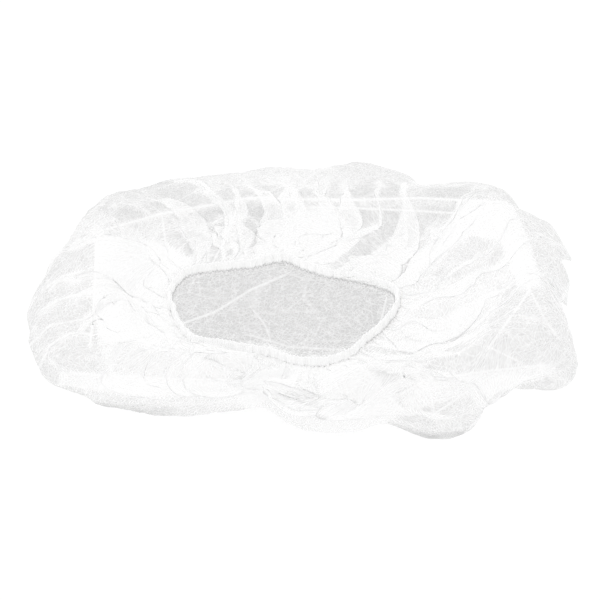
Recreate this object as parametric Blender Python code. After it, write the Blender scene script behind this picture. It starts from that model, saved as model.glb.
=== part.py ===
"""Bouffant cap: one disc of thin nonwoven, gathered at its edge by an elastic in a hem.

The cap lies on its crown with the opening up, as it does when it is put down. Lengths are
in metres, X runs left to right, Y runs front to back and Z points up. The origin lies on
the surface that the cap rests on, below the middle of its outline.
"""

import math

import bmesh
import bpy
from mathutils import Matrix, Vector, noise

MM = 0.001

# Driving sizes
CAP_LENGTH = 321 * MM
CAP_DEPTH = 258 * MM
CREST_HEIGHT = 46 * MM
SHEET = 1.0 * MM
OPENING_LENGTH = 134 * MM
OPENING_DEPTH = 88 * MM
OPENING_X = -11 * MM
OPENING_Y = -39 * MM
ELASTIC_WIDTH = 4.5 * MM
ELASTIC_THICKNESS = 0.8 * MM
SEAT_GAP = 0.3 * MM
SCALLOP = 0.5 * MM

# Divisions round the cap. Each second one is a valley between two gathers.
STEPS = 96

HALF_LENGTH = CAP_LENGTH / 2
HALF_DEPTH = CAP_DEPTH / 2
POCKET_WIDTH = ELASTIC_THICKNESS + 2 * SEAT_GAP
POCKET_HEIGHT = ELASTIC_WIDTH + 2 * SEAT_GAP
HEM_HALF_THICKNESS = POCKET_WIDTH / 2 + SHEET
HEM_HEIGHT = POCKET_HEIGHT + SHEET

# Outline from above: bearing in degrees, anticlockwise from +X, and the reach there as a
# share of the ellipse of the cap's length and depth. Dips are the clefts between lobes.
OUTLINE = (
    ("bearing", "reach"),
    (4, 1.00), (10, 1.02), (17, 1.06), (24, 1.06), (28, 0.99), (34, 1.09), (40, 1.09),
    (46, 1.00), (53, 0.92), (59, 1.00), (66, 1.05), (74, 1.09), (85, 0.98), (96, 1.00),
    (108, 0.99), (124, 1.03), (136, 1.06), (145, 1.09), (150, 1.06), (156, 1.02),
    (164, 1.00), (175, 0.98), (183, 1.02), (195, 1.06), (207, 1.10), (216, 1.07),
    (222, 1.04), (232, 0.99), (246, 0.90), (256, 0.85), (262, 0.93), (268, 1.00),
    (279, 1.03), (285, 1.02), (292, 0.98), (296, 1.08), (309, 1.13), (318, 1.06),
    (323, 1.04), (331, 1.14), (340, 1.08), (345, 1.01), (352, 0.97), (357, 0.96),
)

# Edge of the opening from above, the same way, as a share of the opening's own ellipse
OPENING_EDGE = (
    ("bearing", "reach"),
    (15, 1.03), (36, 0.87), (55, 0.79), (75, 0.85), (90, 1.00), (100, 0.98), (119, 0.91),
    (135, 1.00), (151, 1.17), (168, 1.08), (182, 0.97), (197, 0.98), (208, 1.00),
    (220, 0.86), (240, 0.79), (257, 0.80), (277, 0.95), (295, 1.04), (313, 1.00),
    (332, 0.87), (350, 0.88),
)

# Heights as shares of the crest height. The place of the crest is a share of the way from
# the outline in to the opening's edge.
SECTIONS = (
    ("bearing", "roll", "crest", "crest_place", "edge"),
    (0, 0.26, 0.84, 0.26, 0.58),
    (35, 0.36, 0.94, 0.32, 0.62),
    (60, 0.30, 0.90, 0.44, 0.66),
    (95, 0.24, 0.88, 0.50, 0.70),
    (130, 0.26, 0.84, 0.46, 0.68),
    (160, 0.34, 0.80, 0.42, 0.62),
    (185, 0.26, 0.76, 0.42, 0.58),
    (215, 0.14, 0.66, 0.46, 0.52),
    (245, 0.10, 0.56, 0.54, 0.46),
    (275, 0.09, 0.54, 0.54, 0.44),
    (305, 0.10, 0.58, 0.50, 0.46),
    (335, 0.16, 0.72, 0.36, 0.52),
)

# Main folds that stand up from the top of the cap: the ends from above, as shares of the
# half length and the half depth, the lift as a share of the crest height and the width of
# the fold as a share of the half depth.
FOLDS = (
    ("x1", "y1", "x2", "y2", "lift", "width"),
    (-0.76, 0.24, -0.39, 0.41, 0.12, 0.07),
    (-0.39, 0.41, 0.18, 0.42, 0.13, 0.07),
    (0.18, 0.42, 0.68, 0.43, 0.12, 0.07),
    (-0.60, 0.58, 0.30, 0.72, -0.08, 0.12),
    (-0.80, 0.22, -0.72, -0.58, 0.15, 0.08),
    (-0.60, 0.05, -0.58, -0.40, -0.08, 0.12),
    (-0.97, -0.35, -0.75, -0.48, 0.09, 0.08),
    (-0.86, -0.65, -0.25, -0.80, 0.14, 0.08),
    (-0.24, -0.77, -0.02, -0.68, 0.17, 0.07),
    (-0.02, -0.95, 0.00, -0.72, -0.08, 0.07),
    (0.15, -0.62, 0.35, -0.89, 0.22, 0.07),
    (0.32, -0.61, 0.80, -0.66, 0.12, 0.07),
    (0.84, -0.22, 0.66, -0.62, 0.17, 0.07),
    (0.71, 0.27, 0.36, -0.16, 0.14, 0.08),
    (0.71, 0.27, 0.87, -0.38, 0.16, 0.08),
    (0.70, 0.00, 0.55, -0.35, -0.10, 0.10),
    (0.87, -0.38, 0.89, -0.61, 0.14, 0.08),
    (0.34, -0.87, 0.86, -0.59, 0.12, 0.07),
    (-0.01, 0.39, -0.14, -0.01, 0.12, 0.07),
    (0.11, 0.30, -0.05, 0.04, 0.10, 0.06),
    (-0.29, 0.23, -0.33, 0.00, 0.10, 0.06),
    (0.33, 0.21, 0.18, -0.06, -0.09, 0.08),
)

# Gathers that the elastic makes: pleats round the cap, their depth as a share of the crest
# height, and where between the outline (0) and the edge (1) they start and are deepest.
GATHERS = (
    ("pleats", "depth", "starts", "deepest"),
    (48, 0.036, 0.62, 0.90),
    (24, 0.040, 0.38, 0.72),
    (12, 0.044, 0.10, 0.45),
)

# Profile of the cap, as shares
BASE_RING_SHARE = 0.45
FLAT_SHARE = 0.82
ROLL_STEPS = 3
TOP_STEPS = 9
SAG_SHARE = 0.05
CRUMPLE_SHARE = 0.03
CRUMPLE_COUNT = 9
PLEAT_RUN_SHARE = 0.6


def rows_of(table):
    """The rows of a table as dictionaries with its column names."""
    names = table[0]
    return [dict(zip(names, row)) for row in table[1:]]


def round_the_clock(table, column, bearing):
    """A column's value at a bearing, eased between the rows on either side."""
    rows = rows_of(table)
    for before, after in zip([rows[-1]] + rows[:-1], rows):
        span = (after["bearing"] - before["bearing"]) % 360
        along = (bearing - before["bearing"]) % 360
        if along <= span:
            share = along / span
            return before[column] + (after[column] - before[column]) * share
    raise ValueError(f"no row of the table covers bearing {bearing}")


def on_ellipse(half_x, half_y, bearing, reach):
    """A point seen from above, at a share of an ellipse's own reach."""
    turn = math.radians(bearing)
    radius = reach / math.hypot(math.cos(turn) / half_x, math.sin(turn) / half_y)
    return Vector((radius * math.cos(turn), radius * math.sin(turn), 0))


def outline_point(bearing):
    reach = round_the_clock(OUTLINE, "reach", bearing)
    return on_ellipse(HALF_LENGTH, HALF_DEPTH, bearing, reach)


def opening_point(bearing):
    reach = round_the_clock(OPENING_EDGE, "reach", bearing)
    middle = Vector((OPENING_X, OPENING_Y, 0))
    return middle + on_ellipse(OPENING_LENGTH / 2, OPENING_DEPTH / 2, bearing, reach)


def bearings():
    return [360 * step / STEPS for step in range(STEPS)]


def edge_line():
    """The opening's edge: for each bearing its point, outward direction and height."""
    points = [opening_point(bearing) for bearing in bearings()]
    line = []
    for step, point in enumerate(points):
        onward = points[(step + 1) % STEPS] - points[step - 1]
        outward = Vector((onward.y, -onward.x, 0)).normalized()
        height = CREST_HEIGHT * round_the_clock(SECTIONS, "edge", 360 * step / STEPS)
        scallop = SCALLOP * (1 if step % 2 else -1)
        line.append((point + outward * scallop, outward, height))
    return line


def from_segment(point, fold):
    """Distance of a point, seen from above, from a fold's line."""
    start = Vector((fold["x1"] * HALF_LENGTH, fold["y1"] * HALF_DEPTH))
    end = Vector((fold["x2"] * HALF_LENGTH, fold["y2"] * HALF_DEPTH))
    run = end - start
    share = (point.xy - start).dot(run) / run.length_squared
    return (point.xy - start - run * min(1, max(0, share))).length


def fold_lift(point):
    """Height that the main folds add at a point, seen from above."""
    lift = 0
    for fold in rows_of(FOLDS):
        away = from_segment(point, fold) / (fold["width"] * HALF_DEPTH)
        lift += fold["lift"] * math.exp(-away * away)
    return CREST_HEIGHT * lift


def gather_lift(step, inward, run_length):
    """Height of the pleats at a division round the cap and a share of the run inward."""
    lift = 0
    room = min(1, run_length / (PLEAT_RUN_SHARE * HALF_DEPTH))
    for pleat in rows_of(GATHERS):
        if pleat["starts"] < inward < 1:
            if inward < pleat["deepest"]:
                strength = (inward - pleat["starts"]) / (pleat["deepest"] - pleat["starts"])
            else:
                strength = (1 - inward) / (1 - pleat["deepest"])
            turn = 2 * math.pi * pleat["pleats"] * step / STEPS
            lift += pleat["depth"] * strength * math.cos(turn)
    return CREST_HEIGHT * lift * room


def crumple(point):
    """Small uneven height of the sheet at a point."""
    scaled = point * (CRUMPLE_COUNT / CAP_LENGTH)
    return CREST_HEIGHT * CRUMPLE_SHARE * noise.noise(scaled)


def meridian(step, edge):
    """Points of the sheet's outer side, from the flat base, round the roll to the edge."""
    bearing = 360 * step / STEPS
    widest = outline_point(bearing)
    edge_point, outward, edge_height = edge
    roll = CREST_HEIGHT * round_the_clock(SECTIONS, "roll", bearing)
    crest = CREST_HEIGHT * round_the_clock(SECTIONS, "crest", bearing)
    crest_place = round_the_clock(SECTIONS, "crest_place", bearing)
    hem_outside = edge_point + outward * (HEM_HALF_THICKNESS + SHEET)
    hem_inside = edge_point - outward * (HEM_HALF_THICKNESS + SEAT_GAP)
    inward_run = hem_outside - widest
    points = [widest * BASE_RING_SHARE, widest * FLAT_SHARE]
    for part in range(1, ROLL_STEPS + 1):
        turn = math.pi / 2 * part / ROLL_STEPS
        reach = FLAT_SHARE + (1 - FLAT_SHARE) * math.sin(turn)
        points.append(widest * reach + Vector((0, 0, roll * (1 - math.cos(turn)))))
    for part in range(1, ROLL_STEPS + 1):
        turn = math.pi / 2 * part / ROLL_STEPS
        inward = crest_place * (1 - math.cos(turn))
        point = widest + inward_run * inward
        point.z = roll + (crest - roll) * math.sin(turn)
        point.z += fold_lift(point) * math.sin(turn)
        point.z += gather_lift(step, inward, inward_run.length)
        point.z += crumple(point) * math.sin(turn)
        points.append(point)
    for part in range(1, TOP_STEPS):
        share = part / TOP_STEPS
        inward = crest_place + (1 - crest_place) * share
        point = widest + inward_run * inward
        point.z = crest + (edge_height - crest) * share
        point.z -= CREST_HEIGHT * SAG_SHARE * 4 * share * (1 - share)
        point.z += (fold_lift(point) + crumple(point)) * (1 - share * share)
        point.z += gather_lift(step, inward, inward_run.length)
        points.append(point)
    for rim in (hem_outside, hem_inside):
        points.append(Vector((rim.x, rim.y, edge_height - SEAT_GAP)))
    return points


def material(name, colour, roughness, alpha):
    made = bpy.data.materials.new(name)
    made.use_nodes = True
    shader = made.node_tree.nodes["Principled BSDF"]
    shader.inputs["Base Color"].default_value = (*colour, 1)
    shader.inputs["Roughness"].default_value = roughness
    shader.inputs["Metallic"].default_value = 0
    shader.inputs["Alpha"].default_value = alpha
    return made


def new_object(name, mesh_in_progress, made_of):
    mesh = bpy.data.meshes.new(name)
    bmesh.ops.recalc_face_normals(mesh_in_progress, faces=mesh_in_progress.faces)
    mesh_in_progress.to_mesh(mesh)
    mesh_in_progress.free()
    mesh.materials.append(made_of)
    mesh.shade_smooth()
    mesh.set_sharp_from_angle(angle=math.radians(40))
    made = bpy.data.objects.new(name, mesh)
    bpy.context.scene.collection.objects.link(made)
    return made


def bridge_rings(work, rings, closed):
    """Quads between rings of vertices; closed also joins the last ring to the first."""
    pairs = list(zip(rings, rings[1:]))
    if closed:
        pairs.append((rings[-1], rings[0]))
    for lower, upper in pairs:
        for step in range(STEPS):
            following = (step + 1) % STEPS
            quad = (lower[step], lower[following], upper[following], upper[step])
            work.faces.new(quad)


def make_crown(fabric):
    """The one gathered sheet, given its thickness on the inner side."""
    edge = edge_line()
    meridians = [meridian(step, edge[step]) for step in range(STEPS)]
    work = bmesh.new()
    rings = [[work.verts.new(point) for point in ring] for ring in zip(*meridians)]
    bridge_rings(work, rings, closed=False)
    work.faces.new(rings[0])
    crown = new_object("crown", work, fabric)
    wall = crown.modifiers.new("Wall", "SOLIDIFY")
    wall.thickness = SHEET
    wall.offset = -1
    wall.use_even_offset = True
    return crown


def make_ring(name, section, made_of):
    """A band round the opening from a closed section of (outward, up) offsets."""
    work = bmesh.new()
    rings = []
    for out, up in section:
        ring = [
            work.verts.new(point + outward * out + Vector((0, 0, height + up)))
            for point, outward, height in edge_line()
        ]
        rings.append(ring)
    bridge_rings(work, rings, closed=True)
    return new_object(name, work, made_of)


def make_hem(fabric):
    """The folded strip that stands on the sheet's edge, open below round the elastic."""
    outside = HEM_HALF_THICKNESS
    pocket = POCKET_WIDTH / 2
    section = (
        (-outside, 0), (-pocket, 0), (-pocket, POCKET_HEIGHT), (pocket, POCKET_HEIGHT),
        (pocket, 0), (outside, 0), (outside, HEM_HEIGHT), (-outside, HEM_HEIGHT),
    )
    return make_ring("hem_band", section, fabric)


def make_elastic(rubber):
    """The flat elastic in the hem's pocket."""
    side = ELASTIC_THICKNESS / 2
    top = SEAT_GAP + ELASTIC_WIDTH
    section = ((-side, SEAT_GAP), (side, SEAT_GAP), (side, top), (-side, top))
    return make_ring("elastic_band", section, rubber)


def centre_on_origin(pieces):
    """Move every piece so that the cap's middle, seen from above, is at the origin."""
    corners = [vertex.co for piece in pieces for vertex in piece.data.vertices]
    lowest = Vector([min(corner[axis] for corner in corners) for axis in range(3)])
    highest = Vector([max(corner[axis] for corner in corners) for axis in range(3)])
    middle = (lowest + highest) / 2
    for piece in pieces:
        piece.data.transform(Matrix.Translation((-middle.x, -middle.y, -lowest.z)))


def main():
    for leftover in list(bpy.data.objects):
        bpy.data.objects.remove(leftover)
    nonwoven = material("nonwoven", (0.93, 0.93, 0.93), 0.75, 0.6)
    hem_fabric = material("hem_nonwoven", (0.96, 0.96, 0.96), 0.8, 0.9)
    elastic = material("elastic", (0.97, 0.97, 0.96), 0.6, 1.0)
    pieces = (make_crown(nonwoven), make_hem(hem_fabric), make_elastic(elastic))
    centre_on_origin(pieces)


main()
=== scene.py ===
# Bouffant cap of thin nonwoven, lying on its crown with the elastic opening up.
# Lengths are in metres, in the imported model's own frame.
import math

import bmesh
import bpy
import numpy as np
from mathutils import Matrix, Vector, noise
from mathutils.bvhtree import BVHTree


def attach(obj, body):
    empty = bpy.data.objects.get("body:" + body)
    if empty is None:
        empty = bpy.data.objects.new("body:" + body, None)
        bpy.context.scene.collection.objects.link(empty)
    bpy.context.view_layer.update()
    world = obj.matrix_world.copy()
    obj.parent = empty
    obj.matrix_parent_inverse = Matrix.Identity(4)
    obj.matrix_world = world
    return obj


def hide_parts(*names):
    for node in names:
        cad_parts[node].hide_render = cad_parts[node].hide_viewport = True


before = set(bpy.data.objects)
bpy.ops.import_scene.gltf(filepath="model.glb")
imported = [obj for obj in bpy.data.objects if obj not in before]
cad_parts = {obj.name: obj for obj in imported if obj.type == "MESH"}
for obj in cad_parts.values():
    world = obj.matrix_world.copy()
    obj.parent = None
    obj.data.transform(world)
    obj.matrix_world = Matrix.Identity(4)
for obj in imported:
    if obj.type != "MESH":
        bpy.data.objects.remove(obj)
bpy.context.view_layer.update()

# The view that the photograph was taken from, and its frame in pixels
photoView = {
    "elevation": 36.0,  # degrees above the floor
    "distance": 1.1,
    "aimX": -0.0015,
    "aimY": -0.0126,
    "aimZ": 0.0143,
    "metresPerPixel": 0.000597,  # at the aim point
    "pixels": 600,
    "sensor": 36.0,
}

studio = {
    "worldStrength": 1.0,
    "keyStrength": 0.30,
    "keySoftness": 40.0,  # degrees across
    "keyBearing": 130.0,
    "keyHeight": 50.0,
    "floorWhite": 0.98,
    "paintedShadeUnderCloth": 0.58,  # painted shade: how dark the floor reads under the cloth
    "floorSize": 6.0,
}

# The cut disc and how it is folded up
sheetCut = {
    "diameter": 0.61,
    "segments": 400,  # round the edge, a multiple of eight
    "ringStep": 0.0040,
    "halveBelow": (0.175, 0.095, 0.048),  # radii inside which there are half the segments
    "centreX": 0.008,
    "centreY": 0.016,
    "floorShare": 0.86,  # how far the cloth lies flat towards its widest line
    "clearance": 0.0012,
    "floorGap": 0.0007,
    "crumple": 0.0008,  # small uneven rises, in metres
    "crumpleScale": 60.0,  # how many of them there are in a metre, roughly
    "crumpleFrom": 600,  # grows over this many points from the middle
}

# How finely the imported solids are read
trace = {
    "rimSteps": 180,
    "rimWidth": 2.2,  # degrees that each step of the rim averages
    "lowest": 0.002,
    "highest": 0.030,
    "levels": 15,
    "smoothings": 4,
}

# Steps along a guide line: across the floor, round the roll, and over the top to the rim
guideSteps = {"floor": 14, "roll": 7, "top": 40}

# Pleats round the cap: depth, and the shares of the cut's radius where they start and peak
firstPleats = (
    {"pleats": 80, "depth": 0.0080, "starts": 0.66, "deepest": 0.93, "wander": 2.4},
    {"pleats": 36, "depth": 0.0100, "starts": 0.54, "deepest": 0.82, "wander": 2.2},
    {"pleats": 15, "depth": 0.0100, "starts": 0.42, "deepest": 0.66, "wander": 1.6},
)

# The near side has more cloth than it needs, and turns back over itself in two flaps:
# the bearing of each from the cut's centre, its half width in degrees and its share
backFold = {
    "rise": 0.003,
    "ends": 0.78,
    "flaps": ((-106, 12, 0.45), (-72, 22, 0.6), (-38, 12, 0.3)),
}

# On the near side the last stretch lies low, so that the rim shows
nearLow = {"share": 0.72, "bearing": 275, "spread": 48, "starts": 0.70, "full": 0.90}

# Loose cloth slumps: what stands above the solid by more than this lies over to one side
slump = {
    "above": 0.0015,
    "least": 0.016,
    "kept": 0.16,
    "lean": 1.35,
    "middleX": -0.011,
    "middleY": -0.039,
    "overhang": 0.0018,
    "outlineSteps": 150,
}

webFolds = {"gentle": 150.0, "tight": 700.0}  # bends in radians a metre

rimRuffle = 0.0015  # the gathered edge swings this far each way inside the hem

clothRun = {
    "frames": 14,
    "gravity": 0.15,
    "formFriction": 5.0,
    "formSkin": 0.0008,
    "floorFriction": 20.0,
    "floorSkin": 0.0005,
    "floorHold": 0.06,
    "heldWithin": 0.10,  # metres of cloth from the middle that the floor holds lightly
    "pinnedWithin": 0.03,
    "formSteps": 96,
    "formInset": 0.0022,
    "groundSize": 1.2,
}

# The same run, under Blender's own names
clothSettings = {
    "quality": 6,
    "mass": 0.05,
    "tension_stiffness": 12.0,
    "compression_stiffness": 9.0,
    "shear_stiffness": 4.0,
    "bending_stiffness": 0.04,
    "tension_damping": 8.0,
    "compression_damping": 8.0,
    "shear_damping": 8.0,
    "air_damping": 3.0,
}

collisionSettings = {
    "distance_min": 0.0006,
    "collision_quality": 2,
    "use_self_collision": True,
    "self_distance_min": 0.0006,
    "self_friction": 2.0,
}

seed = 7


def smoothStep(values, low, high):
    share = np.clip((values - low) / (high - low), 0, 1)
    return share * share * (3 - 2 * share)


def unit(vectors):
    return vectors / (np.linalg.norm(vectors, axis=-1, keepdims=True) + 1e-12)


def randomWave(draws, turns, size, orders):
    # A smooth uneven line round the cap
    return sum(
        draws.normal(0, size) * np.sin(order * turns + draws.uniform(0, 6.28)) for order in range(*orders)
    )


def meshPoints(mesh):
    points = np.zeros(len(mesh.vertices) * 3)
    mesh.vertices.foreach_get("co", points)
    return points.reshape(-1, 3)


def storeValues(mesh, name, values):
    marks = mesh.attributes.new(name, "FLOAT", "POINT")
    marks.data.foreach_set("value", values.astype(np.float32))


def layUvs(mesh, places):
    # A place on the cut disc for each point of the mesh
    loops = np.zeros(len(mesh.loops), dtype=np.int32)
    mesh.loops.foreach_get("vertex_index", loops)
    mesh.uv_layers.new(name="cut").data.foreach_set("uv", places[loops].ravel())


def newObject(name, data):
    thing = bpy.data.objects.new(name, data)
    bpy.context.scene.collection.objects.link(thing)
    return thing


def newPiece(name, points, faces):
    mesh = bpy.data.meshes.new(name)
    mesh.from_pydata(np.asarray(points).tolist(), [], faces)
    mesh.update()
    return newObject(name, mesh)


def evenlySpaced(line, count):
    # Points at equal steps along a closed line, from its first point
    closed = np.vstack([line, line[:1]])
    steps = np.linalg.norm(np.diff(closed, axis=0), axis=1)
    along = np.concatenate([[0], np.cumsum(steps)])
    wanted = np.linspace(0, along[-1], count, endpoint=False)
    return np.stack([np.interp(wanted, along, closed[:, axis]) for axis in range(3)], axis=1)


def rimLine(count):
    # Middle line of the elastic, with the hem's lower edge as its height
    points = meshPoints(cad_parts["elastic_band"].data)
    hemPoints = meshPoints(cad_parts["hem_band"].data)
    middle = (points.min(axis=0) + points.max(axis=0)) / 2
    bearings = np.arctan2(points[:, 1] - middle[1], points[:, 0] - middle[0])
    hemBearings = np.arctan2(hemPoints[:, 1] - middle[1], hemPoints[:, 0] - middle[0])
    width = math.radians(trace["rimWidth"])
    line = []
    for turn in np.linspace(0, 2 * math.pi, trace["rimSteps"], endpoint=False):
        away = (bearings - turn + math.pi) % (2 * math.pi) - math.pi
        weight = np.exp(-((away / width) ** 2))
        spot = (points * weight[:, None]).sum(axis=0) / weight.sum()
        near = np.abs((hemBearings - turn + math.pi) % (2 * math.pi) - math.pi) < 2 * width
        spot[2] = hemPoints[near, 2].min()
        line.append(spot)
    line = np.array(line)
    line[:, 2] = (np.roll(line[:, 2], 1) + line[:, 2] + np.roll(line[:, 2], -1)) / 3
    return evenlySpaced(line, count)


def widestLine(tree, count):
    # The solid's outline seen from the cut's centre, with the height that it is widest at
    line = []
    centre = Vector((sheetCut["centreX"], sheetCut["centreY"], 0))
    for turn in np.linspace(0, 2 * math.pi, count, endpoint=False):
        outward = Vector((math.cos(turn), math.sin(turn), 0))
        reach, height = 0, 0
        for level in np.linspace(trace["lowest"], trace["highest"], trace["levels"]):
            start = centre + outward * 0.3 + Vector((0, 0, level))
            hit = tree.ray_cast(start, -outward)[0]
            if hit is not None and (hit - centre).xy.length > reach:
                reach, height = (hit - centre).xy.length, level
        line.append((centre.x + outward.x * reach, centre.y + outward.y * reach, height))
    line = np.array(line)
    line[:, 2] = smoothRound(line[:, 2], trace["smoothings"])
    return line


def smoothRound(values, times):
    for _ in range(times):
        values = (np.roll(values, 1, axis=0) + 2 * values + np.roll(values, -1, axis=0)) / 4
    return values


def topHeight(tree, x, y, otherwise):
    # The solid's height at a point, or the given one where the solid is lower or absent
    hit = tree.ray_cast(Vector((x, y, 0.2)), Vector((0, 0, -1)))[0]
    return otherwise if hit is None or hit.z < otherwise else hit.z


def meridianGuides(tree, rim, widest, foldBack):
    # From the cut's middle, flat along the floor, round the roll and back in to the rim.
    # Where foldBack is above 0 the cloth turns back over itself once on its way in.
    centre = np.array([sheetCut["centreX"], sheetCut["centreY"], 0])
    floorShare = sheetCut["floorShare"]
    guides = []
    for wide, edge, back in zip(widest, rim, foldBack):
        path = []
        for share in np.linspace(0, floorShare, guideSteps["floor"]):
            spot = centre + (wide - centre) * share
            path.append((spot[0], spot[1], 0))
        bend = centre + (wide - centre) * floorShare
        for turn in np.linspace(0, math.pi / 2, guideSteps["roll"])[1:]:
            spot = bend + (wide - bend) * math.sin(turn)
            path.append((spot[0], spot[1], wide[2] * (1 - math.cos(turn))))
        for step in np.linspace(0, 1, guideSteps["top"])[1:]:
            turn = min(step / backFold["ends"], 1)
            share = step + back * backFold["ends"] * 0.5 * math.sin(2 * math.pi * turn)
            spot = wide + (edge - wide) * share
            height = topHeight(tree, spot[0], spot[1], wide[2])
            toRim = smoothStep(step, 0.92, 1.0)
            stack = back * backFold["rise"] * smoothStep(step, 0.1, 0.5) * (1 - smoothStep(step, 0.6, 0.9))
            height = (height + stack) * (1 - toRim) + edge[2] * toRim
            path.append((spot[0], spot[1], height))
        guides.append(np.array(path))
    return np.array(guides)


def alongGuides(guides, distances):
    # Points at given distances from the middle. Past the floor each guide is stretched or
    # slackened so that the cut's edge meets the rim.
    steps = np.linalg.norm(np.diff(guides, axis=1), axis=2)
    along = np.concatenate([np.zeros((len(guides), 1)), np.cumsum(steps, axis=1)], axis=1)
    radius = sheetCut["diameter"] / 2
    rings = []
    for distance in distances:
        ring = []
        for line, lengths in zip(guides, along):
            flat = lengths[guideSteps["floor"] - 1]
            if distance <= flat:
                wanted = distance
            else:
                wanted = flat + (distance - flat) * (lengths[-1] - flat) / (radius - flat)
            ring.append([np.interp(wanted, lengths, line[:, axis]) for axis in range(3)])
        rings.append(ring)
    return np.array(rings), along[:, -1]


def addPleats(rings, distances, slack, draws):
    # Rising folds on the side of the sheet that faces out, where it is gathered
    around = np.roll(rings, -1, axis=1) - np.roll(rings, 1, axis=1)
    outward = unit(np.cross(around, np.gradient(rings, axis=0)))
    if outward[3, 0, 2] > 0:
        outward = -outward
    share = np.asarray(distances) / (sheetCut["diameter"] / 2)
    turns = np.linspace(0, 2 * math.pi, rings.shape[1], endpoint=False)
    lift = np.zeros(rings.shape[:2])
    for family in firstPleats:
        wander = randomWave(draws, turns, 0.25, (1, 9))
        uneven = 1 + randomWave(draws, turns, 0.16, (2, 12))
        wave = 0.5 - 0.5 * np.cos(family["pleats"] * turns + family["wander"] * wander)
        rise = smoothStep(share, family["starts"], family["deepest"])
        fall = np.sqrt(np.clip((1 - share) / (1 - family["deepest"]), 0, 1))
        lift += family["depth"] * (rise * fall)[:, None] * (wave * np.clip(uneven, 0.3, 1.8))[None, :]
    low = np.exp(-(((np.degrees(turns) - nearLow["bearing"]) / nearLow["spread"]) ** 2))
    last = smoothStep(share, nearLow["starts"], nearLow["full"])
    lift *= 1 - nearLow["share"] * low[None, :] * last[:, None]
    # Spare length along a guide stands up in one or two low waves on the way to the rim
    wave = np.sin(math.pi * smoothStep(share, 0.50, 0.9)) ** 2
    lift += wave[:, None] * (0.08 * slack)[None, :]
    raised = np.where(share > 0.45, 1, 0)[:, None]
    rings = rings + outward * ((sheetCut["clearance"] + lift) * raised)[:, :, None]
    return rings


def discGrid():
    # Rings of the cut disc, with fewer segments towards the middle
    radius = sheetCut["diameter"] / 2
    ringCount = round(radius / sheetCut["ringStep"])
    distances = np.linspace(0, radius, ringCount + 1)[1:]
    counts = []
    for distance in distances:
        halvings = sum(distance < limit for limit in sheetCut["halveBelow"])
        counts.append(sheetCut["segments"] // 2 ** halvings)
    return distances, counts


def discFaces(counts):
    starts = np.concatenate([[1], 1 + np.cumsum(counts)])
    faces = []
    for step in range(counts[0]):
        faces.append((0, 1 + step, 1 + (step + 1) % counts[0]))
    for ring in range(len(counts) - 1):
        inner, outer = int(starts[ring]), int(starts[ring + 1])
        count, wider = counts[ring], counts[ring + 1]
        for step in range(count):
            a = inner + step
            b = inner + (step + 1) % count
            if wider == count:
                faces.append((a, outer + step, outer + (step + 1) % count, b))
            else:
                left, middle = outer + 2 * step, outer + 2 * step + 1
                right = outer + (2 * step + 2) % wider
                faces.append((a, left, middle))
                faces.append((a, middle, b))
                faces.append((b, middle, right))
    return faces


def foldSheet():
    draws = np.random.default_rng(seed)
    segments = sheetCut["segments"]
    rim = rimLine(segments)
    work = bmesh.new()
    work.from_mesh(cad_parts["crown"].data)
    tree = BVHTree.FromBMesh(work)
    work.free()
    widest = widestLine(tree, segments)
    bearings = np.linspace(0, 360, segments, endpoint=False)
    foldBack = np.zeros(segments)
    for bearing, width, share in backFold["flaps"]:
        away = (bearings - bearing + 180) % 360 - 180
        foldBack = np.maximum(foldBack, share * np.exp(-((away / width) ** 2)))
    plain = meridianGuides(tree, rim, widest, np.zeros(segments))
    guides = meridianGuides(tree, rim, widest, foldBack)
    distances, counts = discGrid()
    rings, lengths = alongGuides(guides, distances)
    slack = np.clip(sheetCut["diameter"] / 2 - lengths, 0, None)
    print("guides:", round(float(lengths.min()), 3), "to", round(float(lengths.max()), 3), "long")
    rings = addPleats(rings, distances, slack, draws)
    ruffle = outwardOf(rim) * (rimRuffle * np.where(np.arange(segments) % 2, 1, -1))[:, None]
    rings[-1] = rim + ruffle
    rings[-2, :, :2] += 0.7 * ruffle[:, :2]
    flat, placed = [[0, 0, 0]], [[sheetCut["centreX"], sheetCut["centreY"], sheetCut["floorGap"]]]
    turns = np.linspace(0, 2 * math.pi, segments, endpoint=False)
    for distance, count, ring in zip(distances, counts, rings):
        every = segments // count
        for step in range(0, segments, every):
            flat.append([distance * math.cos(turns[step]), distance * math.sin(turns[step]), 0])
            placed.append(ring[step])
    flat, placed = np.array(flat), np.array(placed)
    scale = sheetCut["crumpleScale"]
    for index, spot in enumerate(placed[:-segments]):
        uneven = noise.noise(Vector((spot[0] * scale, spot[1] * scale, spot[2] * scale + 3)))
        placed[index, 2] += sheetCut["crumple"] * (uneven + 0.5) * min(index / sheetCut["crumpleFrom"], 1)
    placed[:, 2] = np.maximum(placed[:, 2], sheetCut["floorGap"])
    sheet = newPiece("crown_sheet", placed, discFaces(counts))
    form = innerForm(plain)
    print("area before settling:", round(sum(face.area for face in sheet.data.polygons), 4))
    return sheet, form, flat, rim, widest, tree


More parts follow.
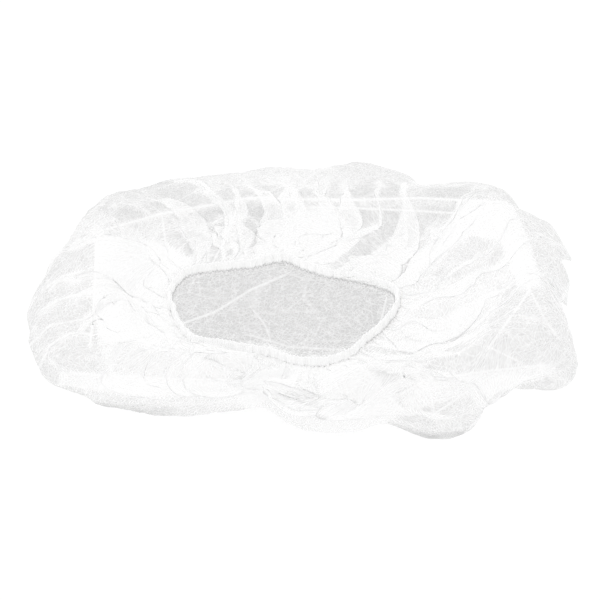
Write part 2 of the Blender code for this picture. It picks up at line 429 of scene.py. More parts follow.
def innerForm(guides):
    # What the cloth is draped round while it settles: the guide shape, a little smaller
    steps = clothRun["formSteps"]
    pick = np.linspace(0, len(guides), steps, endpoint=False).astype(int)
    centre = np.array([sheetCut["centreX"], sheetCut["centreY"], 0])
    work = bmesh.new()
    rings = []
    count = guides.shape[1]
    for place in list(range(5, 20, 2)) + list(range(20, count - 1, 2)):
        line = guides[pick, place]
        inward = centre - line
        inward[:, 2] = 0
        line = line + unit(inward) * clothRun["formInset"]
        line[:, 2] = np.clip(line[:, 2] - clothRun["formInset"], clothRun["formInset"], None)
        rings.append([work.verts.new(point) for point in line])
    for lower, upper in zip(rings, rings[1:]):
        for step in range(steps):
            following = (step + 1) % steps
            work.faces.new((lower[step], lower[following], upper[following], upper[step]))
    work.faces.new(rings[0])
    work.faces.new(rings[-1])
    bmesh.ops.recalc_face_normals(work, faces=work.faces)
    mesh = bpy.data.meshes.new("form")
    work.to_mesh(mesh)
    work.free()
    return newObject("form", mesh)


def layOver(tree, places):
    # Lays the folds over sideways, round the opening, at about the height of the solid.
    # The part above the limit is sheared as a whole, so folds that were clear stay clear.
    for index in np.flatnonzero(places[:, 2] > slump["least"] + slump["above"]):
        x, y, z = places[index]
        limit = topHeight(tree, x, y, slump["least"]) + slump["above"]
        if z > limit:
            away = Vector((x - slump["middleX"], y - slump["middleY"], 0))
            sideways = Vector((away.y, -away.x, 0)).normalized()
            uneven = noise.noise(Vector((x * 12, y * 12, 5)))
            onward = sideways * (z - limit) * slump["lean"] * (0.95 + 0.5 * uneven)
            places[index, :2] += np.array(onward.xy)
            places[index, 2] = limit + (z - limit) * slump["kept"]
    return places


def meetOutline(widest, places):
    # Moves the outer cloth in or out a little, so that its outline is the solid's
    centre = np.array([sheetCut["centreX"], sheetCut["centreY"]])
    away = places[:, :2] - centre
    spread = np.linalg.norm(away, axis=1)
    turns = np.arctan2(away[:, 1], away[:, 0]) % (2 * math.pi) / (2 * math.pi)
    steps = slump["outlineSteps"]
    found = np.zeros(steps)
    np.maximum.at(found, (turns * steps).astype(int) % steps, spread)
    reach = np.linalg.norm(widest[:, :2] - centre, axis=1)
    middles = (np.arange(steps) + 0.5) / steps
    wanted = np.interp(middles * len(reach), np.arange(len(reach)), reach) + slump["overhang"]
    change = smoothRound(wanted / found, 1)
    change = np.interp(turns, middles, change, period=1)
    share = smoothStep(spread * change / np.interp(turns, middles, wanted, period=1), 0.6, 1.0)
    return np.column_stack([centre + away * (1 + (change - 1) * share)[:, None], places[:, 2]])


def settleSheet(tree, widest, sheet, form, flat, segments):
    # The flat disc is the rest shape, so the gathered cloth finds its own folds
    scene = bpy.context.scene
    bpy.ops.mesh.primitive_plane_add(size=clothRun["groundSize"], location=(0, 0, 0))
    ground = bpy.context.object
    for under, name in ((form, "form"), (ground, "floor")):
        under.modifiers.new("Collision", "COLLISION")
        under.collision.thickness_outer = clothRun[name + "Skin"]
        under.collision.cloth_friction = clothRun[name + "Friction"]
    sheet.shape_key_add(name="Basis")
    rest = sheet.shape_key_add(name="cut")
    rest.data.foreach_set("co", flat.ravel())
    hold = sheet.vertex_groups.new(name="hold")
    total = len(flat)
    hold.add(list(range(total - segments, total)), 1.0, "REPLACE")
    spread = np.linalg.norm(flat, axis=1)
    hold.add(np.flatnonzero(spread < clothRun["heldWithin"]).tolist(), clothRun["floorHold"], "REPLACE")
    hold.add(np.flatnonzero(spread < clothRun["pinnedWithin"]).tolist(), 1.0, "REPLACE")
    cloth = sheet.modifiers.new("Cloth", "CLOTH")
    for name, value in clothSettings.items():
        setattr(cloth.settings, name, value)
    for name, value in collisionSettings.items():
        setattr(cloth.collision_settings, name, value)
    cloth.settings.vertex_group_mass = "hold"
    cloth.settings.rest_shape_key = rest
    cloth.settings.effector_weights.gravity = clothRun["gravity"]
    cloth.point_cache.frame_start = 1
    cloth.point_cache.frame_end = clothRun["frames"]
    for step in range(1, clothRun["frames"] + 1):
        scene.frame_set(step)
    graph = bpy.context.evaluated_depsgraph_get()
    places = meshPoints(sheet.evaluated_get(graph).to_mesh())
    sheet.modifiers.clear()
    sheet.shape_key_clear()
    sheet.vertex_groups.clear()
    scene.frame_set(1)
    places[:, 2] = np.maximum(places[:, 2], sheetCut["floorGap"])
    places = meetOutline(widest, layOver(tree, places))
    sheet.data.vertices.foreach_set("co", places.ravel())
    sheet.data.update()
    bpy.data.objects.remove(ground)


def photoPlace(points):
    # Where a point shows in the photograph's frame, in its pixels
    lean = math.radians(photoView["elevation"])
    back = np.array([0, -math.cos(lean), math.sin(lean)])
    aim = np.array([photoView["aimX"], photoView["aimY"], photoView["aimZ"]])
    eye = aim + back * photoView["distance"]
    up = np.array([0, math.sin(lean), math.cos(lean)])
    away = points - eye
    depth = away @ -back
    focal = photoView["distance"] / photoView["metresPerPixel"]
    across = photoView["pixels"] / 2 + focal * away[:, 0] / depth
    down = photoView["pixels"] / 2 - focal * (away @ up) / depth
    return np.stack([across, down], axis=1)


def clothLayers(mesh, flat):
    # How much cloth there is for each bit of surface, so that unresolved gathers read as dense
    density = np.zeros(len(mesh.vertices))
    weight = np.zeros(len(mesh.vertices))
    for face in mesh.polygons:
        corners = list(face.vertices)
        cut = polygonArea(flat[corners])
        for corner in corners:
            density[corner] += cut
            weight[corner] += face.area
    return density / np.maximum(weight, 1e-12)


def foldSharpness(mesh):
    # How tightly the cloth is bent at each point, from 0 to 1
    points = meshPoints(mesh)
    normals = np.zeros(len(points) * 3)
    mesh.vertex_normals.foreach_get("vector", normals)
    normals = normals.reshape(-1, 3)
    edges = np.zeros(len(mesh.edges) * 2, dtype=np.int64)
    mesh.edges.foreach_get("vertices", edges)
    first, second = edges.reshape(-1, 2).T
    bend = np.linalg.norm(normals[first] - normals[second], axis=1)
    bend /= np.linalg.norm(points[first] - points[second], axis=1) + 1e-6
    sharp = np.zeros(len(points))
    np.maximum.at(sharp, first, bend)
    np.maximum.at(sharp, second, bend)
    return smoothStep(sharp, webFolds["gentle"], webFolds["tight"])


def polygonArea(points):
    total = np.zeros(3)
    for first, second in zip(points[1:], points[2:]):
        total += np.cross(first - points[0], second - points[0])
    return np.linalg.norm(total) / 2


# Folds and overlaps that the photograph shows, as places in its frame of 600 by 600 pixels.
# Each crease has a channel, so that neighbours keep apart, and a strength in layers of cloth.
creases = (
    (0, 1.5, ((103, 230), (165, 213), (250, 198), (350, 200), (420, 198), (500, 202))),
    (1, 1.0, ((300, 207), (350, 208), (420, 211), (470, 214))),
    (1, 2.0, ((97, 236), (95, 280), (93, 320), (90, 345))),
    (0, 0.9, ((30, 345), (50, 325), (90, 318))),
    (2, 1.0, ((40, 366), (50, 345), (70, 333), (92, 334))),
    (2, 1.0, ((50, 290), (62, 276), (82, 271))),
    (1, 1.2, ((62, 373), (120, 376), (180, 379), (250, 380))),
    (2, 0.8, ((60, 384), (150, 395), (232, 392))),
    (0, 2.0, ((345, 351), (372, 378), (402, 411))),
    (1, 1.1, ((325, 365), (345, 400), (330, 440))),
    (2, 1.1, ((250, 410), (262, 398), (292, 388), (300, 366))),
    (1, 1.5, ((490, 215), (440, 248), (400, 275))),
    (2, 1.5, ((490, 215), (520, 255), (530, 290), (490, 346))),
    (0, 1.0, ((532, 294), (545, 320), (556, 335))),
    (2, 1.3, ((400, 395), (425, 380), (480, 372), (545, 365))),
    (2, 1.5, ((300, 210), (285, 232), (265, 258))),
    (1, 1.0, ((235, 215), (225, 240), (213, 262))),
    (2, 0.9, ((163, 222), (165, 240), (172, 255))),
    (0, 1.1, ((489, 347), (520, 362))),
    (1, 1.1, ((434, 414), (491, 376))),
    (0, 0.8, ((465, 433), (508, 387))),
    (2, 0.9, ((430, 391), (434, 412))),
    (0, 1.7, ((178, 325), (215, 312), (250, 290), (285, 275))),
    (1, 0.35, ((198, 275), (200, 295), (192, 312))),
    (2, 1.1, ((255, 312), (265, 325), (270, 338))),
    (1, 1.0, ((250, 335), (290, 347), (345, 350))),
    (2, 1.5, ((386, 300), (380, 325), (352, 347))),
)

# Places where the cloth lies over itself, and by how many layers. A negative count takes layers away, so
# that place reads greyer.
overlaps = (
    (3.2, (
        (97, 236), (130, 238), (165, 244), (192, 262), (170, 272), (165, 292), (173, 310), (186, 340),
        (150, 342), (100, 342), (95, 300),
    )),
    (3.4, ((236, 395), (262, 372), (297, 366), (292, 386), (262, 400), (250, 410))),
    (1.8, ((344, 352), (372, 372), (402, 410), (384, 424), (345, 440), (318, 436), (330, 400), (318, 368))),
    (1.8, ((246, 264), (302, 212), (330, 206), (350, 232), (335, 258), (300, 266), (275, 256))),
    (2.2, (
        (392, 268), (440, 240), (455, 215), (470, 200), (508, 203), (517, 215), (530, 245), (540, 285),
        (520, 290), (500, 240), (470, 235), (430, 262), (400, 278),
    )),
    (0.6, (
        (388, 285), (405, 272), (450, 278), (500, 262), (520, 275), (500, 300), (480, 345), (440, 340),
        (400, 330), (388, 312),
    )),
    (2.0, ((60, 372), (110, 374), (180, 378), (250, 380), (232, 390), (180, 396), (110, 392), (60, 384))),
    (1.6, ((188, 341), (270, 345), (300, 358), (345, 353), (345, 364), (300, 370), (262, 356), (192, 352))),
    (-0.45, (
        (75, 215), (130, 186), (240, 168), (316, 166), (364, 157), (425, 186), (500, 190), (500, 200),
        (350, 198), (250, 197), (165, 211), (103, 228),
    )),
    (-0.55, ((165, 216), (250, 202), (300, 205), (262, 245), (210, 262), (190, 255))),
    (-0.42, ((330, 206), (460, 205), (420, 245), (360, 262), (340, 258), (352, 232))),
    (0.9, ((98, 343), (188, 343), (235, 350), (260, 362), (250, 378), (110, 372))),
    (-0.75, (
        (75, 400), (150, 406), (252, 404), (300, 428), (345, 432), (386, 419), (430, 434), (478, 428),
        (500, 402), (548, 388), (562, 392), (515, 405), (480, 440), (430, 446), (386, 436), (345, 446),
        (290, 442), (252, 420), (150, 420), (75, 410),
    )),
    (-0.1, ((28, 330), (40, 285), (66, 235), (94, 232), (94, 300), (88, 350), (60, 378), (36, 366))),
    (-0.15, ((420, 392), (480, 385), (560, 378), (530, 396), (480, 436), (430, 440), (404, 420))),
    (1.3, ((400, 398), (430, 380), (545, 366), (560, 372), (520, 385), (450, 400), (410, 410))),
)

foldMarks = {"near": 5.0, "far": 9.0, "soft": 2.5}  # pixels


def awayFromLine(places, line):
    # Distance in pixels from a line of points, negative on its right
    best = np.full(len(places), 1e6)
    for first, second in zip(line, line[1:]):
        start, step = np.array(first, float), np.array(second, float) - np.array(first, float)
        along = np.clip(((places - start) @ step) / (step @ step), 0, 1)
        gap = places - start - along[:, None] * step
        side = np.where(step[0] * gap[:, 1] - step[1] * gap[:, 0] < 0, -1, 1)
        away = np.linalg.norm(gap, axis=1) * side
        best = np.where(np.abs(away) < np.abs(best), away, best)
    return best


def inside(places, corners):
    within = np.zeros(len(places), dtype=bool)
    for (x1, y1), (x2, y2) in zip(corners, corners[1:] + corners[:1]):
        if y1 == y2:
            continue
        crosses = (y1 > places[:, 1]) != (y2 > places[:, 1])
        within ^= crosses & (places[:, 0] < (x2 - x1) * (places[:, 1] - y1) / (y2 - y1) + x1)
    return within


def markFolds(mesh):
    places = photoPlace(meshPoints(mesh))
    away = np.full((len(places), 3), 50.0)
    show = np.zeros((len(places), 3))
    for channel, strength, line in creases:
        gap = awayFromLine(places, line)
        nearer = np.abs(gap) < np.abs(away[:, channel])
        away[nearer, channel] = gap[nearer]
        shown = strength * (1 - smoothStep(np.abs(gap), foldMarks["near"], foldMarks["far"]))
        show[:, channel] = np.maximum(show[:, channel], shown)
    extra = np.zeros(len(places))
    for layers, corners in overlaps:
        edge = np.abs(awayFromLine(places, corners + corners[:1]))
        depth = np.where(inside(places, corners), edge, -edge)
        extra += layers * smoothStep(depth, -foldMarks["soft"], foldMarks["soft"])
    for name, values in (("creaseAway", away), ("creaseShow", show)):
        marks = mesh.attributes.new(name, "FLOAT_VECTOR", "POINT")
        marks.data.foreach_set("vector", values.astype(np.float32).ravel())
    storeValues(mesh, "overlap", extra)


def makeSheet():
    sheet, form, flat, rim, widest, tree = foldSheet()
    print("sheet folded:", len(sheet.data.polygons), "faces")
    settleSheet(tree, widest, sheet, form, flat, sheetCut["segments"])
    print("sheet settled")
    bpy.data.objects.remove(form)
    layUvs(sheet.data, flat[:, :2] / sheetCut["diameter"] + 0.5)
    layers = clothLayers(sheet.data, flat)
    storeValues(sheet.data, "layers", np.clip(layers, 0.8, 4))
    storeValues(sheet.data, "folds", foldSharpness(sheet.data))
    print("cloth layers:", np.percentile(layers, (5, 50, 95)).round(2))
    print("sheet area:", round(sum(face.area for face in sheet.data.polygons), 4))
    # The cut edge keeps its small gathers when the mesh is refined
    sharp = np.zeros(len(sheet.data.vertices))
    sharp[-sheetCut["segments"]:] = 1
    storeValues(sheet.data, "crease_vert", sharp)
    fine = sheet.modifiers.new("fine", "SUBSURF")
    fine.levels = 1
    graph = bpy.context.evaluated_depsgraph_get()
    refined = bpy.data.meshes.new_from_object(sheet.evaluated_get(graph))
    sheet.modifiers.clear()
    sheet.data = refined
    refined.shade_smooth()
    markFolds(refined)
    return sheet, rim


# Materials


def addNode(tree, kind, **inputs):
    node = tree.nodes.new(kind)
    for key, value in inputs.items():
        node.inputs[key.replace("_", " ")].default_value = value
    return node


def maths(tree, operation, first, second=None):
    node = tree.nodes.new("ShaderNodeMath")
    node.operation = operation
    for socket, value in zip(node.inputs, (first, second)):
        if isinstance(value, (int, float)):
            socket.default_value = value
        elif value is not None:
            tree.links.new(value, socket)
    return node.outputs[0]


def storedValue(tree, name):
    node = tree.nodes.new("ShaderNodeAttribute")
    node.attribute_name = name
    return node.outputs["Fac"]


def mixShaders(tree, share, first, second):
    mix = tree.nodes.new("ShaderNodeMixShader")
    if isinstance(share, float):
        mix.inputs[0].default_value = share
    else:
        tree.links.new(share, mix.inputs[0])
    tree.links.new(first.outputs[0], mix.inputs[1])
    tree.links.new(second.outputs[0], mix.inputs[2])
    return mix


def newMaterial(name):
    material = bpy.data.materials.new(name)
    material.use_nodes = True
    material.node_tree.nodes.clear()
    return material, material.node_tree


def finishMaterial(tree, surface):
    output = tree.nodes.new("ShaderNodeOutputMaterial")
    tree.links.new(surface.outputs[0], output.inputs["Surface"])


def useGroup(tree, group, place, **values):
    node = tree.nodes.new("ShaderNodeGroup")
    node.node_tree = group
    for label, value in values.items():
        node.inputs[label].default_value = value
    tree.links.new(place.outputs["UV"], node.inputs["Cut Place"])
    return node


def newGroup(name, inputs, outputs):
    group = bpy.data.node_groups.new(name, "ShaderNodeTree")
    for label, kind, value in inputs:
        socket = group.interface.new_socket(label, in_out="INPUT", socket_type=kind)
        if value is not None:
            socket.default_value = value
    for label, kind in outputs:
        group.interface.new_socket(label, in_out="OUTPUT", socket_type=kind)
    return group, group.nodes.new("NodeGroupInput"), group.nodes.new("NodeGroupOutput")


fibreShape = {
    "warpScale": 26.0,
    "directions": (8, 47, 83, 121, 158),  # degrees
    "stretch": 5.0,
    "thinness": 11.0,
    "sharpness": 1.5,
    "gain": 0.5,
    "cloudScale": 70.0,
}


def fibreGroup():
    # Random long fibres: ridges of stretched noise laid in several directions
    group, given, result = newGroup(
        "fibreWeb",
        (
            ("Cut Place", "NodeSocketVector", None),
            ("Strands", "NodeSocketFloat", 220.0),
            ("Curl", "NodeSocketFloat", 0.02),
        ),
        (("Fibres", "NodeSocketFloat"), ("Cloudiness", "NodeSocketFloat")),
    )
    links = group.links
    warp = addNode(group, "ShaderNodeTexNoise", Scale=fibreShape["warpScale"], Detail=2.0)
    links.new(given.outputs["Cut Place"], warp.inputs["Vector"])
    centred, scaled, moved = (group.nodes.new("ShaderNodeVectorMath") for _ in range(3))
    centred.operation = "SUBTRACT"
    centred.inputs[1].default_value = (0.5, 0.5, 0.5)
    scaled.operation = "SCALE"
    moved.operation = "ADD"
    links.new(warp.outputs["Color"], centred.inputs[0])
    links.new(centred.outputs[0], scaled.inputs[0])
    links.new(given.outputs["Curl"], scaled.inputs["Scale"])
    links.new(given.outputs["Cut Place"], moved.inputs[0])
    links.new(scaled.outputs[0], moved.inputs[1])
    total = None
    for index, angle in enumerate(fibreShape["directions"]):
        turned = group.nodes.new("ShaderNodeMapping")
        turned.vector_type = "TEXTURE"
        turned.inputs["Rotation"].default_value = (0, 0, math.radians(angle))
        turned.inputs["Location"].default_value = (3.1 * index, 1.7 * index, 0.37 * index)
        turned.inputs["Scale"].default_value = (1.0, fibreShape["stretch"], 1.0)
        links.new(moved.outputs[0], turned.inputs["Vector"])
        strands = addNode(group, "ShaderNodeTexNoise", Detail=0.0)
        strands.noise_dimensions = "2D"
        links.new(turned.outputs[0], strands.inputs["Vector"])
        links.new(given.outputs["Strands"], strands.inputs["Scale"])
        away = maths(group, "ABSOLUTE", maths(group, "SUBTRACT", strands.outputs["Fac"], 0.5))
        ridge = maths(group, "SUBTRACT", 1.0, maths(group, "MULTIPLY", away, fibreShape["thinness"]))
        line = maths(group, "POWER", maths(group, "MAXIMUM", ridge, 0.0), fibreShape["sharpness"])
        total = line if total is None else maths(group, "ADD", total, line)
    links.new(maths(group, "MULTIPLY", total, fibreShape["gain"]), result.inputs["Fibres"])
    cloud = addNode(group, "ShaderNodeTexNoise", Scale=fibreShape["cloudScale"], Detail=3.0, Roughness=0.6)
    links.new(given.outputs["Cut Place"], cloud.inputs["Vector"])
    links.new(cloud.outputs["Fac"], result.inputs["Cloudiness"])
    return group


creaseShape = {
    "bendScale": 9.0,
    "bend": 0.015,
    "breakScale": 11.0,
    "gone": 0.46,  # the noise below which a crease is gone, and above which it is whole
    "whole": 0.62,
    "facetLimit": 0.3,
}


def creaseGroup():
    # Sharp creases: the borders of irregular cells, thin and broken up
    group, given, result = newGroup(
        "sharpCreases",
        (
            ("Cut Place", "NodeSocketVector", None),
            ("Cells", "NodeSocketFloat", 14.0),
            ("Width", "NodeSocketFloat", 0.02),
        ),
        (("Creases", "NodeSocketFloat"), ("Facets", "NodeSocketFloat")),
    )
    links = group.links
    bend = addNode(group, "ShaderNodeTexNoise", Scale=creaseShape["bendScale"], Detail=3.0)
    links.new(given.outputs["Cut Place"], bend.inputs["Vector"])
    mixed = group.nodes.new("ShaderNodeMix")
    mixed.data_type = "VECTOR"
    mixed.inputs["Factor"].default_value = creaseShape["bend"]
    links.new(given.outputs["Cut Place"], mixed.inputs["A"])
    links.new(bend.outputs["Color"], mixed.inputs["B"])
    cells = group.nodes.new("ShaderNodeTexVoronoi")
    cells.feature = "DISTANCE_TO_EDGE"
    cells.inputs["Randomness"].default_value = 1.0
    links.new(mixed.outputs["Result"], cells.inputs["Vector"])
    links.new(given.outputs["Cells"], cells.inputs["Scale"])
    broken = addNode(group, "ShaderNodeTexNoise", Scale=creaseShape["breakScale"], Detail=1.0)
    links.new(given.outputs["Cut Place"], broken.inputs["Vector"])
    limits = {"From_Min": creaseShape["gone"], "From_Max": creaseShape["whole"]}
    shown = addNode(group, "ShaderNodeMapRange", **limits)
    links.new(broken.outputs["Fac"], shown.inputs["Value"])
    near = maths(group, "DIVIDE", cells.outputs["Distance"], given.outputs["Width"])
    line = maths(group, "MAXIMUM", maths(group, "SUBTRACT", 1.0, near), 0.0)
    links.new(maths(group, "MULTIPLY", line, shown.outputs["Result"]), result.inputs["Creases"])
    facets = maths(group, "MINIMUM", cells.outputs["Distance"], creaseShape["facetLimit"])
    links.new(facets, result.inputs["Facets"])
    return group


webLook = {
    "creaseWidth": 1.1,  # pixels of the photograph
    "oneLayer": 0.50,  # how much of the light one layer stops
    "colour": (0.97, 0.97, 0.97, 1),
    "roughness": 0.8,
    "glow": 0.28,  # share of the light that comes through from behind
    "shadow": 0.985,  # the light that one layer lets by on its way to what lies behind
    "strands": 235.0,  # fibres across the cut disc, and how far they wander
    "curl": 0.016,
    "leastFibre": 0.55,  # layers where no fibre shows, and how many more a fibre adds
    "fibreGain": 0.95,
    "leastCloud": 0.70,
    "cloudGain": 0.6,
    "foldLayers": 1.2,
    "netCells": 13.0,
    "netWidth": 0.018,
    "netLayers": 0.5,
    "facetHeight": 1.0,
    "fibreHeight": 0.02,
    "bump": 0.35,
    "bumpDepth": 0.01,
    "specular": 0.2,
    "sheen": 0.15,
}

# The hem is the same web, painted pure white rather than 0.97: painted light that lifts the shade on its
# folded tube
hemLookPaintedLighter = dict(webLook, colour=(1, 1, 1, 1), glow=0.0, roughness=0.7)


def creaseShare(tree):
    # Thin bright lines where the charted creases run
    parts = []
    for name in ("creaseAway", "creaseShow"):
        marks = tree.nodes.new("ShaderNodeAttribute")
        marks.attribute_name = name
        split = tree.nodes.new("ShaderNodeSeparateXYZ")
        tree.links.new(marks.outputs["Vector"], split.inputs[0])
        parts.append(split.outputs)
    total = None
    for away, show in zip(*parts):
        across = maths(tree, "ABSOLUTE", maths(tree, "DIVIDE", away, webLook["creaseWidth"]))
        across = maths(tree, "POWER", across, 2.0)
        line = maths(tree, "MULTIPLY", maths(tree, "EXPONENT", maths(tree, "MULTIPLY", across, -1.0)), show)
        total = line if total is None else maths(tree, "ADD", total, line)
    return total


def webMaterial(name, fibres, creases, look):
    material, tree = newMaterial(name)
    links = tree.links
    place = tree.nodes.new("ShaderNodeUVMap")
    place.uv_map = "cut"
    web = useGroup(tree, fibres, place, Strands=look["strands"], Curl=look["curl"])
    sharp = useGroup(tree, creases, place, Cells=look["netCells"], Width=look["netWidth"])
    # Layers, thicker where fibres cross and along creases
    fibreShare = maths(tree, "MULTIPLY", web.outputs["Fibres"], look["fibreGain"])
    fibreShare = maths(tree, "ADD", look["leastFibre"], fibreShare)
    cloud = maths(tree, "MULTIPLY", web.outputs["Cloudiness"], look["cloudGain"])
    cloud = maths(tree, "ADD", look["leastCloud"], cloud)
    bent = maths(tree, "MULTIPLY", storedValue(tree, "folds"), look["foldLayers"])
    layers = maths(tree, "ADD", maths(tree, "MAXIMUM", storedValue(tree, "layers"), 1.0), bent)
    layers = maths(tree, "ADD", layers, storedValue(tree, "overlap"))
    layers = maths(tree, "MULTIPLY", layers, maths(tree, "MULTIPLY", fibreShare, cloud))
    layers = maths(tree, "ADD", layers, maths(tree, "MULTIPLY", sharp.outputs["Creases"], look["netLayers"]))
    layers = maths(tree, "ADD", layers, creaseShare(tree))
    clear = maths(tree, "POWER", 1 - look["oneLayer"], layers)
    stops = maths(tree, "SUBTRACT", 1.0, clear)
    facets = maths(tree, "MULTIPLY", sharp.outputs["Facets"], look["facetHeight"])
    height = maths(tree, "ADD", facets, maths(tree, "MULTIPLY", web.outputs["Fibres"], look["fibreHeight"]))
    bump = addNode(tree, "ShaderNodeBump", Strength=look["bump"], Distance=look["bumpDepth"])
    links.new(height, bump.inputs["Height"])
    shader = addNode(
        tree,
        "ShaderNodeBsdfPrincipled",
        Base_Color=look["colour"],
        Roughness=look["roughness"],
        Specular_IOR_Level=look["specular"],
        Sheen_Weight=look["sheen"],
    )
    links.new(bump.outputs["Normal"], shader.inputs["Normal"])
    through = addNode(tree, "ShaderNodeBsdfTranslucent", Color=look["colour"])
    links.new(bump.outputs["Normal"], through.inputs["Normal"])
    cloth = mixShaders(tree, look["glow"], shader, through)
    screen = mixShaders(tree, stops, tree.nodes.new("ShaderNodeBsdfTransparent"), cloth)
    # Shadow and bounced rays see an even, thin web, because its fibres scatter the light on
    path = tree.nodes.new("ShaderNodeLightPath")
    scattered = maths(tree, "MAXIMUM", path.outputs["Is Shadow Ray"], path.outputs["Is Diffuse Ray"])
    veil = addNode(tree, "ShaderNodeBsdfTransparent", Color=(look["shadow"],) * 3 + (1,))
    finishMaterial(tree, mixShaders(tree, scattered, screen, veil))
    return material


def floorMaterial():
    # White by itself, and greyer where the camera sees it through the cloth: painted shade under the cap
    material, tree = newMaterial("paleFloorWithPaintedShade")
    path = tree.nodes.new("ShaderNodeLightPath")
    paintedShadeMask = maths(tree, "GREATER_THAN", path.outputs["Transparent Depth"], 0.5)
    paintedShadeMask = maths(tree, "MULTIPLY", paintedShadeMask, path.outputs["Is Camera Ray"])
    bare = addNode(tree, "ShaderNodeBsdfDiffuse", Color=(studio["floorWhite"],) * 3 + (1,))
    under = addNode(tree, "ShaderNodeBsdfDiffuse", Color=(studio["paintedShadeUnderCloth"],) * 3 + (1,))
    finishMaterial(tree, mixShaders(tree, paintedShadeMask, bare, under))
    return material


# Hem, elastic and thread

hemCut = {
    "layers": 9.0,  # each wall of the hem, in layers of the web
    "segments": 720,
    "ruffles": 150,
    "ruffleDepth": 0.00035,
    "halfThickness": 0.0011,
    "height": 0.0062,
    "below": 0.0004,  # how far its walls reach below the sheet's edge
    "wall": 0.0003,
    "girth": 1.2,  # lengths that the fibre pattern is laid on, along and across the strip
    "breadth": 0.016,
}

elasticCut = {"segments": 480, "width": 0.0042, "thickness": 0.0007, "lift": 0.0006, "rib": 0.12}

threadRun = {
    "stitches": 125,
    "radius": 0.00022,
    "high": 0.0012,
    "low": -0.0004,
    "standOff": 0.0005,
}


def outwardOf(line):
    onward = np.roll(line, -1, axis=0) - np.roll(line, 1, axis=0)
    sideways = np.stack([onward[:, 1], -onward[:, 0], np.zeros(len(line))], axis=1)
    return unit(sideways)


def ringPiece(name, rings):
    # Joins rings of points into a closed band
    count = len(rings[0])
    points = np.concatenate(rings)
    faces = []
    for ring in range(len(rings)):
        following = (ring + 1) % len(rings)
        for step in range(count):
            onward = (step + 1) % count
            here, there = ring * count, following * count
            faces.append((here + step, here + onward, there + onward, there + step))
    return newPiece(name, points, faces)


def bandUvs(band, around, across):
    # Lengths along and across the band, on the same scale as the cut disc
    points = np.arange(len(band.data.vertices))
    along = (points % around) / around * hemCut["girth"] / sheetCut["diameter"]
    up = (points // around) / across * hemCut["breadth"] / sheetCut["diameter"]
    layUvs(band.data, np.stack([along, up], axis=1))
    storeValues(band.data, "layers", np.full(len(points), hemCut["layers"]))
    storeValues(band.data, "folds", np.zeros(len(points)))


def makeHem(rim, draws):
    line = evenlySpaced(rim, hemCut["segments"])
    outward = outwardOf(line)
    turns = np.linspace(0, 2 * math.pi, len(line), endpoint=False)
    wander = randomWave(draws, turns, 0.3, (1, 12))
    ruffle = np.cos(hemCut["ruffles"] * turns + 3 * wander)
    half, height = hemCut["halfThickness"], hemCut["height"]
    below, wall = hemCut["below"], hemCut["wall"]
    # Place outward, height, and how much of the ruffles each line of the folded strip has
    profile = (
        (-half, -below, 0.3),
        (-half * 1.1, 0.3 * height, 0.8),
        (-half, 0.7 * height, 1.0),
        (-half * 0.5, 0.95 * height, 1.0),
        (0, height, 1.0),
        (half * 0.5, 0.95 * height, 1.0),
        (half, 0.7 * height, 1.0),
        (half * 1.1, 0.3 * height, 0.8),
        (half, -below, 0.3),
        (half - wall, -below, 0.3),
        (half * 0.7, 0.6 * height, 0.9),
        (0, height - below, 1.0),
        (-half * 0.7, 0.6 * height, 0.9),
        (-half + wall, -below, 0.3),
    )
    rings = []
    up = np.array([0, 0, 1])
    for out, rise, share in profile:
        sway = hemCut["ruffleDepth"] * share * ruffle
        bob = 0.25 * hemCut["ruffleDepth"] * share * np.sin(0.5 * hemCut["ruffles"] * turns + 2 * wander)
        rings.append(line + outward * (out + sway)[:, None] + up * (rise + bob)[:, None])
    hem = ringPiece("hem_strip", rings)
    bandUvs(hem, len(line), len(rings))
    hem.data.shade_smooth()
    return hem


def makeElastic(rim):
    line = evenlySpaced(rim, elasticCut["segments"])
    outward = outwardOf(line)
    half = elasticCut["thickness"] / 2
    low = elasticCut["lift"]
    high = low + elasticCut["width"]
    up = np.array([0, 0, 1])
    rib = elasticCut["rib"] * half * np.where(np.arange(len(line)) % 2, 1, -1)
    rings = []
    for out, rise in ((-half, low), (-half, high), (half, high), (half, low)):
        rings.append(line + outward * (out + np.sign(out) * rib)[:, None] + up * rise)
    return ringPiece("elastic_tape", rings)


def makeThread(name, rim, side):
    # A zigzag of thread that sews the hem to the sheet, on its outer or inner side
    count = threadRun["stitches"] * 2
    line = evenlySpaced(rim, count)
    outward = outwardOf(line)
    up = np.array([0, 0, 1])
    out = side * (hemCut["halfThickness"] * 1.1 + threadRun["standOff"])
    points = []
    for step in range(count):
        rise = threadRun["low"] if step % 2 else threadRun["high"]
        points.append(line[step] + outward[step] * out + up * rise)
    curve = bpy.data.curves.new(name, "CURVE")
    curve.dimensions = "3D"
    curve.bevel_depth = threadRun["radius"]
    curve.bevel_resolution = 1
    spline = curve.splines.new("POLY")
    spline.points.add(count - 1)
    for target, point in zip(spline.points, points):
        target.co = (*point, 1)
    spline.use_cyclic_u = True
    return newObject(name, curve)


def plainMaterial(name, colour, roughness):
    material = bpy.data.materials.new(name)
    material.use_nodes = True
    shader = material.node_tree.nodes["Principled BSDF"]
    shader.inputs["Base Color"].default_value = colour
    shader.inputs["Roughness"].default_value = roughness
    return material


# Floor, light and camera


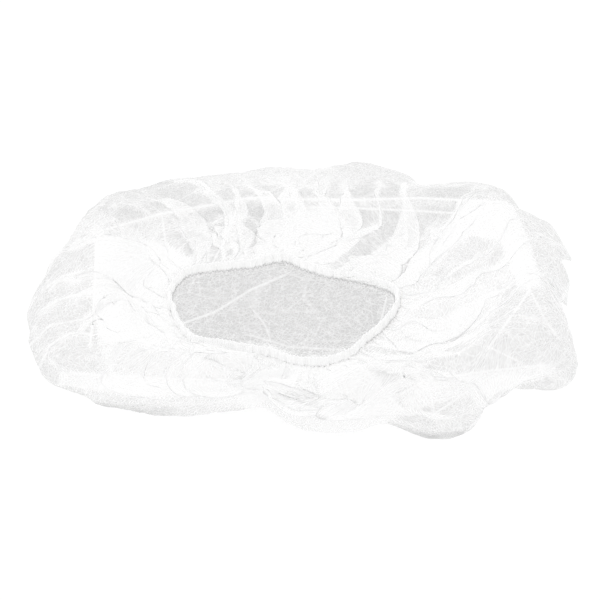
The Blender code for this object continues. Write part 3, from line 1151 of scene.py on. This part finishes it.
def makeStage():
    size = studio["floorSize"]
    corners = [(-size, -size, 0), (size, -size, 0), (size, size, 0), (-size, size, 0)]
    floor = newPiece("pale_floor", corners, [(0, 1, 2, 3)])
    floor.data.materials.append(floorMaterial())
    world = bpy.data.worlds.new("softStudio")
    world.use_nodes = True
    background = world.node_tree.nodes["Background"]
    background.inputs["Strength"].default_value = studio["worldStrength"]
    background.inputs["Color"].default_value = (1, 1, 1, 1)
    bpy.context.scene.world = world
    keyData = bpy.data.lights.new("key", "SUN")
    keyData.energy = studio["keyStrength"]
    keyData.angle = math.radians(studio["keySoftness"])
    key = newObject("key", keyData)
    bearing, height = math.radians(studio["keyBearing"]), math.radians(studio["keyHeight"])
    level = math.cos(height)
    towards = Vector((math.cos(bearing) * level, math.sin(bearing) * level, math.sin(height)))
    key.rotation_mode = "QUATERNION"
    key.rotation_quaternion = towards.to_track_quat("Z", "Y")


def makeCamera():
    lens = bpy.data.cameras.new("photoCamera")
    camera = newObject("photoCamera", lens)
    lean = math.radians(photoView["elevation"])
    aim = Vector((photoView["aimX"], photoView["aimY"], photoView["aimZ"]))
    camera.location = aim + photoView["distance"] * Vector((0, -math.cos(lean), math.sin(lean)))
    camera.rotation_euler = (math.pi / 2 - lean, 0, 0)
    lens.sensor_width = photoView["sensor"]
    focal = photoView["distance"] / photoView["metresPerPixel"]
    lens.lens = photoView["sensor"] * focal / photoView["pixels"]
    bpy.context.scene.camera = camera


makeCamera()
makeStage()
bpy.context.scene.view_settings.view_transform = "Standard"
bpy.context.scene.cycles.transparent_max_bounces = 32  # a line of sight crosses many layers
print("stage and camera made")

fibreWeb = fibreGroup()
sharpCreases = creaseGroup()
crownSheet, rim = makeSheet()
crownSheet.data.materials.append(webMaterial("nonwoven", fibreWeb, sharpCreases, webLook))
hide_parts("crown")
hemStrip = makeHem(rim, np.random.default_rng(seed + 1))
hemStrip.data.materials.append(webMaterial("hemNonwovenPaintedLighter", fibreWeb, sharpCreases, hemLookPaintedLighter))
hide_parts("hem_band")
elasticTape = makeElastic(rim)
elasticTape.data.materials.append(plainMaterial("elasticCover", (0.97, 0.97, 0.96, 1), 0.6))
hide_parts("elastic_band")
# The thread's grey is painted shade: it stands for the dark dots of shade along the gathered hem
threadShadeMaterial = plainMaterial("threadGreyAsPaintedShade", (0.6, 0.6, 0.6, 1), 0.5)
threads = [makeThread("hem_thread_outer", rim, 1), makeThread("hem_thread_inner", rim, -1)]
for thread in threads:
    thread.data.materials.append(threadShadeMaterial)
for piece in (crownSheet, hemStrip, elasticTape, *threads):
    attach(piece, "root")
print("pieces made")
